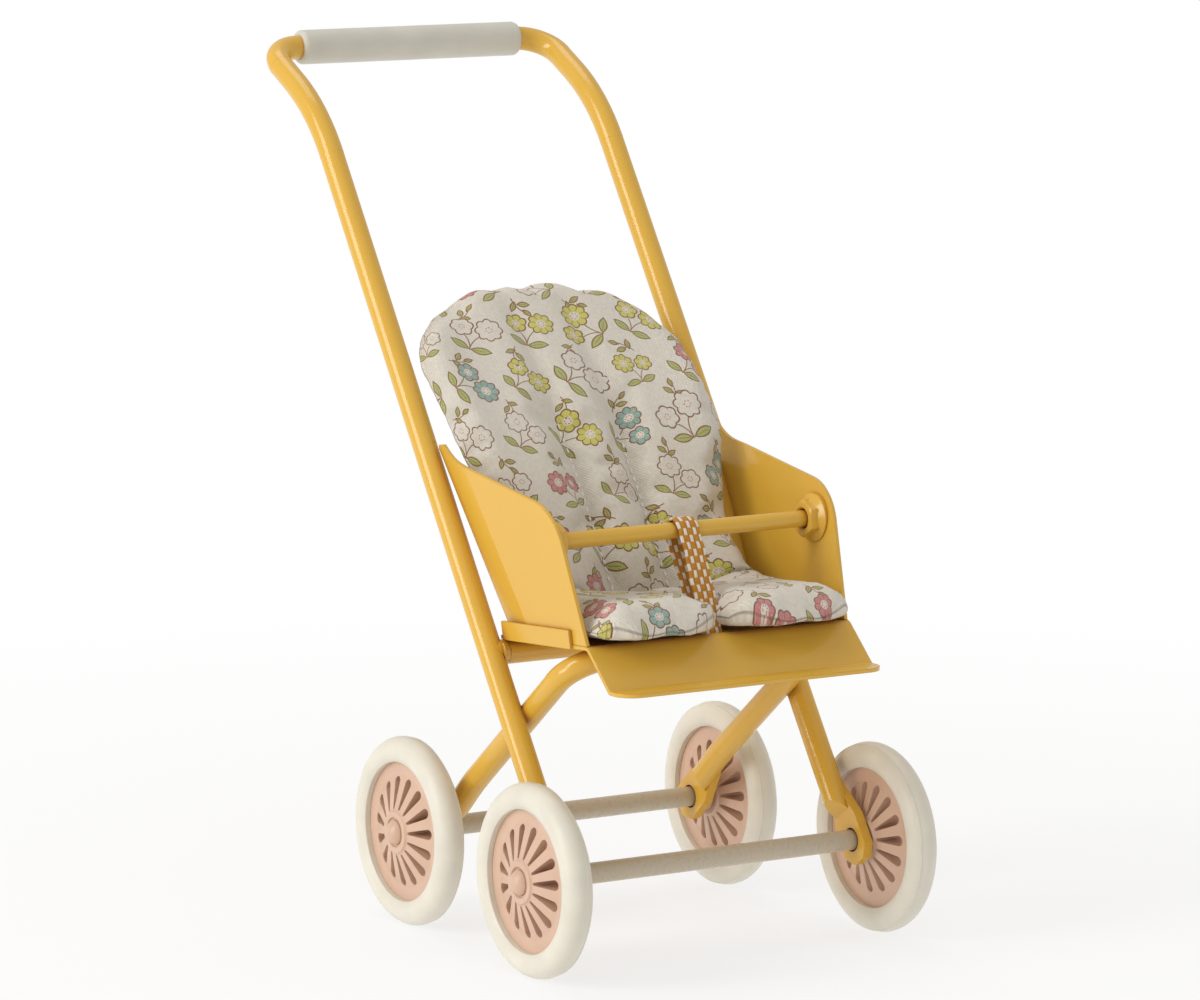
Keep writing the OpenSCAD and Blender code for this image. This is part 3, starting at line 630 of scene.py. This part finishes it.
layer = bmesh.ops.extrude_face_region(pad, geom=pad.faces[:])
upper = {piece for piece in layer["geom"] if isinstance(piece, bmesh.types.BMVert)}
for corner in pad.verts:
    x, run = corner.co.x, corner.co.y
    half = wide
    for row in range(row_count):
        if row_run(row) <= run <= row_run(row + 1):
            share = (run - row_run(row)) / max(1e-9, row_run(row + 1) - row_run(row))
            half = row_half(row) * (1 - share) + row_half(row + 1) * share
            break
    swell = swell_of(x, run, half)
    rise = fill_of(x, run, swell)
    rolled = 3.4 * MM * (1 - swell)
    ahead = rolled if run < -25 * MM else 0
    aside = rolled if abs(x) > 26 * MM else 0
    for loop in corner.link_loops:
        loop[cut_map].uv = (x + math.copysign(aside, x), run - ahead)
    curl = 2.6 * MM * max(0, (abs(x) - 17 * MM) / (18 * MM)) ** 1.7
    curl *= ease(run, 12 * MM, 30 * MM) * (1 - ease(run, 62 * MM, 80 * MM)) * (1 if x > 0 else 0.1)
    curl += 5 * MM * ease(abs(x), 12 * MM, 30 * MM) * math.exp(-((run - 6 * MM) / (11 * MM)) ** 2)
    place, slope = pad_path(run)
    out = Vector((0, -math.sin(slope), math.cos(slope)))
    seam_lift = 1.6 * MM * max(0, 1 - rise / (2.2 * MM))
    lift = max(rise * 0.93, seam_lift + 0.6 * MM) if corner in upper else seam_lift
    corner.co = place + out * (lift + curl) + Vector((x, 0, 0))
bmesh.ops.recalc_face_normals(pad, faces=pad.faces[:])
pad.verts.index_update()
under = {corner.index for corner in pad.verts if corner not in upper}
rim_edges = [(edge.verts[0].index, edge.verts[1].index) for edge in pad.edges
             if (edge.verts[0] in upper) != (edge.verts[1] in upper)]
print("filled pad:", len(pad.verts), "corners,", len(rim_edges), "round the seam")

# %% [markdown]
# Cloth behaves best at the size of a real cushion, so the pad is simulated ten times larger. It
# is held at its stitches, its seam and where it rests, then blown up a little from inside, and
# the fabric is a few percent too big, which is what gathers it into small puckers.

# %% Fill the cushion with cloth pressure
GROW = 10
cushion_mesh = bpy.data.meshes.new("quilted_cushion")
pad.to_mesh(cushion_mesh)
pad.free()
cushion = bpy.data.objects.new("quilted_cushion", cushion_mesh)
bpy.context.collection.objects.link(cushion)
cushion_mesh.transform(Matrix.Scale(GROW, 4))
cut_place = [None] * len(cushion_mesh.vertices)
for loop in cushion_mesh.loops:
    cut_place[loop.vertex_index] = cushion_mesh.uv_layers["cut"].data[loop.index].uv.copy()
held = cushion.vertex_groups.new(name="held")
rim = {corner for edge in rim_edges for corner in edge}
layer_mark = cushion_mesh.attributes.new("layer", "FLOAT", "POINT")
for corner in cushion_mesh.vertices:
    layer_mark.data[corner.index].value = -1.0 if corner.index in under else 1.0
for corner in cushion_mesh.vertices:
    x, run = cut_place[corner.index]
    on_stitch = abs(abs(x) - stitch_x) < 0.9 * MM and -2 * MM < run < stitch_top
    if corner.index in rim or on_stitch:
        held.add([corner.index], 1.0 if on_stitch else 0.97, "REPLACE")
    elif corner.index in under:
        held.add([corner.index], 0.9 if run < 8 * MM else 0.5, "REPLACE")


def puff(piece, pressure, most, frames=20):
    """Cloth with pressure inside, applied, with no corner moved further than most."""
    start = [corner.co.copy() for corner in piece.data.vertices]
    cloth = piece.modifiers.new("filling", "CLOTH")
    rules = cloth.settings
    rules.quality = 6
    rules.mass = 0.3
    rules.tension_stiffness = rules.compression_stiffness = 14
    rules.shear_stiffness = 6
    rules.bending_stiffness = 0.12
    rules.use_pressure = True
    rules.uniform_pressure_force = pressure
    rules.shrink_min = -0.05
    rules.effector_weights.gravity = 0
    rules.vertex_group_mass = "held"
    cloth.point_cache.frame_end = frames
    for frame_number in range(1, frames + 1):
        bpy.context.scene.frame_set(frame_number)
    depsgraph = bpy.context.evaluated_depsgraph_get()
    blown = piece.evaluated_get(depsgraph).to_mesh()
    moved = 0
    for corner, then, now in zip(piece.data.vertices, start, blown.vertices):
        step = now.co - then
        if step.length > most:
            step *= most / step.length
        moved = max(moved, step.length)
        corner.co = then + step
    piece.evaluated_get(depsgraph).to_mesh_clear()
    piece.modifiers.remove(cloth)
    bpy.context.scene.frame_set(1)
    return moved


print("cloth moved up to", round(puff(cushion, 4.0, 16 * MM) / GROW / MM, 2), "mm")
cushion_mesh.transform(Matrix.Scale(1 / GROW, 4))
for polygon in cushion_mesh.polygons:
    polygon.use_smooth = True
smooth = cushion.modifiers.new("smooth", "SUBSURF")
smooth.levels = smooth.render_levels = 1
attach(cushion, "frame")
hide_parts("cushion_seat", "cushion_back")
cushion_mesh.materials.append(printed_cotton)
print("cushion box", [tuple(round(v / MM, 1) for v in c) for c in
                      (Vector(map(min, zip(*[v.co for v in cushion_mesh.vertices]))),
                       Vector(map(max, zip(*[v.co for v in cushion_mesh.vertices]))))])

# %% [markdown]
# The two rows of stitches are short white threads. Each is set where its place in the flat cut
# has ended up on the filled cushion.

# %% Stitches
surface = []
for corner in cushion_mesh.vertices:
    if corner.index not in under:
        surface.append((cut_place[corner.index], corner.co.copy()))


def on_cushion(x, run):
    """Where a place of the flat cut has ended up, from the four nearest corners."""
    near = sorted((((flat.x - x) ** 2 + (flat.y - run) ** 2), index)
                  for index, (flat, _) in enumerate(surface))[:4]
    weights = [1 / (gap + 1e-9) for gap, _ in near]
    total = sum(weights)
    return sum((surface[index][1] * (weight / total) for weight, (_, index) in zip(weights, near)),
               Vector())


stitch_length, stitch_step = 1.5 * MM, 2.3 * MM
thread_around, thread_along = 8, 6
threads = bmesh.new()
for side in (-1, 1):
    run = 6 * MM
    while run < stitch_top - (0 if side < 0 else 3 * MM):
        low = on_cushion(side * stitch_x, run)
        high = on_cushion(side * stitch_x, run + stitch_length)
        turn = (high - low).to_track_quat("Z", "Y").to_matrix().to_4x4()
        place = Matrix.Translation((low + high) / 2 + Vector((0, -0.25 * MM, 0.2 * MM))) @ turn
        bmesh.ops.create_uvsphere(threads, u_segments=thread_around, v_segments=thread_along, radius=1,
                                  matrix=place @ Matrix.Diagonal((0.26 * MM, 0.2 * MM,
                                                                  stitch_length / 2, 1)))
        run += stitch_step
thread_mesh = bpy.data.meshes.new("cushion_stitches")
threads.to_mesh(thread_mesh)
threads.free()
stitches = bpy.data.objects.new("cushion_stitches", thread_mesh)
bpy.context.collection.objects.link(stitches)
thread_white, tree, skin = start_finish("white_thread", (0.80, 0.77, 0.70), 0.7)
twist = noise(tree, here(tree), 4000)
bump(tree, skin, twist.outputs["Fac"], 0.00004, 0.6)
thread_mesh.materials.append(thread_white)
for polygon in thread_mesh.polygons:
    polygon.use_smooth = True
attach(stitches, "frame")
print("stitches:", len(thread_mesh.polygons) // (thread_around * thread_along))

# %% [markdown]
# ## Woven strap
# The strap is a flat elastic, woven in mustard with off-white floats laid like bricks. It goes up
# behind the bumper bar, over it, and down again through the slot in the seat plate. The floats
# and knots stand up from the ribbon, so they are made in its shape and not only in its finish.

# %% Path of the strap
strap_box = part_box("harness_strap")
bar_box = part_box("bumper_bar")
bar_middle = middle_of("bumper_bar")
strap_half = (strap_box[1].x - strap_box[0].x) / 2
strap_foot = Vector((0, strap_box[0].y + 0.9 * MM, strap_box[0].z))
ribbon_half = 0.5 * MM
loop_radius = (bar_box[1].z - bar_box[0].z) / 2 + 0.3 * MM + ribbon_half
pitch, dash = 1.3 * MM, 3.5 * MM
run_steps, bend_steps = 40, 24

down = (strap_foot - bar_middle).normalized()
side_way = Vector((0, down.z, -down.y))
rear = []
for step in range(run_steps + 1):
    share = step / run_steps
    start = strap_foot - side_way * 0.55 * MM
    end = bar_middle - side_way * loop_radius
    rear.append(start.lerp(end, share) - side_way * 0.9 * MM * math.sin(math.pi * share))
over = [bar_middle + loop_radius * (-side_way * math.cos(turn) - down * math.sin(turn))
        for turn in (math.pi * step / bend_steps for step in range(1, bend_steps))]
front = []
for step in range(run_steps + 1):
    share = step / run_steps
    start = bar_middle + side_way * loop_radius
    end = strap_foot + side_way * 0.55 * MM
    front.append(start.lerp(end, share) + side_way * 0.5 * MM * math.sin(math.pi * share))
line = rear + over + front
lengths = [0.0]
for before, after in zip(line, line[1:]):
    lengths.append(lengths[-1] + (after - before).length)
print("strap is", round(lengths[-1] / MM, 1), "mm long round its loop")


def along_strap(distance):
    """Point and outward way at a distance along the strap."""
    for index in range(len(line) - 1):
        if lengths[index + 1] >= distance or index == len(line) - 2:
            share = (distance - lengths[index]) / (lengths[index + 1] - lengths[index])
            heading = (line[min(index + 2, len(line) - 1)] - line[max(index - 1, 0)]).normalized()
            return line[index].lerp(line[index + 1], share), Vector((0, -heading.z, heading.y))


def weave_height(across, distance):
    """Height of the weave: rounded floats in brick order, with knots between them."""
    column = math.floor(across / pitch + 0.5)
    in_column = across / pitch + 0.5 - column - 0.5
    in_row = (distance / dash + 0.5 * (column % 2)) % 1 - 0.5
    rounded = math.cos(math.pi * in_column) ** 0.7 if abs(in_column) < 0.5 else 0
    float_bulge = max(0, 1 - (in_row / 0.31) ** 2) ** 0.5
    knot = 0.75 * max(0, 1 - ((abs(in_row) - 0.5) / 0.2) ** 2) ** 0.5
    return rounded * max(float_bulge, knot)


# %% Weave the strap
strap_rows, strap_columns = 300, 44
ribbon = bmesh.new()
bmesh.ops.create_grid(ribbon, x_segments=strap_columns, y_segments=strap_rows, size=1)
woven_map = ribbon.loops.layers.uv.new("woven")
flat_place = {}
for corner in ribbon.verts:
    flat_place[corner] = (corner.co.x * strap_half, (corner.co.y + 1) / 2 * lengths[-1])
for face in ribbon.faces:
    for loop in face.loops:
        loop[woven_map].uv = flat_place[loop.vert]
other = bmesh.ops.extrude_face_region(ribbon, geom=ribbon.faces[:])
inner = {corner for corner in other["geom"] if isinstance(corner, bmesh.types.BMVert)}
for corner in ribbon.verts:
    across = corner.co.x * strap_half
    distance = (corner.co.y + 1) / 2 * lengths[-1]
    place, outward = along_strap(distance)
    edge = max(0, 1 - (abs(across) / strap_half) ** 6)
    height = 0.22 * MM + (0.1 + 0.9 * edge) * 0.24 * MM * weave_height(across, distance)
    sway = 0.12 * MM * math.sin(distance / (2.1 * MM)) + 0.1 * MM * math.sin(distance / (0.83 * MM))
    corner.co = (place + outward * (-height if corner in inner else height)
                 + Vector((across + sway * (abs(across) / strap_half), 0, 0)))
bmesh.ops.recalc_face_normals(ribbon, faces=ribbon.faces[:])
strap_mesh = bpy.data.meshes.new("woven_strap")
ribbon.to_mesh(strap_mesh)
ribbon.free()
strap = bpy.data.objects.new("woven_strap", strap_mesh)
bpy.context.collection.objects.link(strap)
for polygon in strap_mesh.polygons:
    polygon.use_smooth = True

# %% Woven elastic finish
elastic, tree, skin = start_finish("woven_elastic", (0.55, 0.27, 0.02), 0.8)
woven = add(tree, "ShaderNodeUVMap", uv_map="woven")
woven_parts = add(tree, "ShaderNodeSeparateXYZ", {"Vector": woven.outputs["UV"]})
column_at = Value(tree, woven_parts.outputs["X"]) / pitch + 0.5
column = column_at.op("FLOOR")
in_column = (column_at - column - 0.5).size()
odd = (column * 0.5).op("FRACT")
row_at = Value(tree, woven_parts.outputs["Y"]) / dash + odd
in_row = (row_at.op("FRACT") - 0.5).size()
fuzz = noise(tree, here(tree), 2600, 3)
fuzzy = (Value(tree, fuzz.outputs["Fac"]) - 0.5) * 0.12
floats = (in_row + fuzzy).below(0.24, 0.03) * (in_column + fuzzy).below(0.3, 0.04)
mustard = blend_colour(tree, fuzz.outputs["Fac"], (0.33, 0.115, 0.005), (0.68, 0.31, 0.016))
pale = blend_colour(tree, fuzz.outputs["Fac"], (0.62, 0.55, 0.46), (0.88, 0.83, 0.76))
colour = blend_colour(tree, floats.socket, mustard, pale)
# Painted shade: the narrow gaps between the columns of floats are darkened.
groove_shade = in_column.op("GREATER_THAN", 0.46) * 0.45
colour = paint(tree, colour, groove_shade, (0.16, 0.06, 0.005))
tree.links.new(colour, skin.inputs["Base Color"])
skin.inputs["Sheen Weight"].default_value = 0.1
strand = ((Value(tree, woven_parts.outputs["Y"]) + Value(tree, woven_parts.outputs["X"]))
          * (2 * math.pi / (0.32 * MM))).op("SINE")
bump(tree, skin, (strand * 0.4 + fuzzy * 6).socket, 0.00006, 0.8)
strap_mesh.materials.append(elastic)
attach(strap, "frame")
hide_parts("harness_strap", "strap_stop")

# %% [markdown]
# ## Floor
# A wide pale disc that mostly shines by itself, like a light table. Near the stroller a share of
# it is lit as paper is, which takes a soft shadow, and further out it fades to the white of the
# sky, so no line shows where it ends.

# %% Floor
shine_near, fade_from, fade_to = 0.72, 0.1, 0.5
disc = bmesh.new()
bmesh.ops.create_circle(disc, cap_ends=True, radius=9, segments=96)
floor_mesh = bpy.data.meshes.new("floor")
disc.to_mesh(floor_mesh)
disc.free()
floor = bpy.data.objects.new("floor", floor_mesh)
bpy.context.collection.objects.link(floor)
floor_finish, tree, skin = start_finish("pale_floor", (0.88, 0.875, 0.86), 0.8)
reach = add(tree, "ShaderNodeVectorMath", {0: here(tree)}, operation="LENGTH").outputs["Value"]
fade = add(tree, "ShaderNodeMapRange", {"Value": reach, "From Min": fade_from,
                                         "From Max": fade_to, "To Min": shine_near,
                                         "To Max": 1.0},
           interpolation_type="SMOOTHSTEP")
white = add(tree, "ShaderNodeEmission", {"Strength": 1.0})
mixed = add(tree, "ShaderNodeMixShader", {0: fade.outputs["Result"], 1: skin.outputs[0],
                                          2: white.outputs[0]})
tree.links.new(mixed.outputs[0], tree.nodes["Material Output"].inputs["Surface"])
floor_mesh.materials.append(floor_finish)
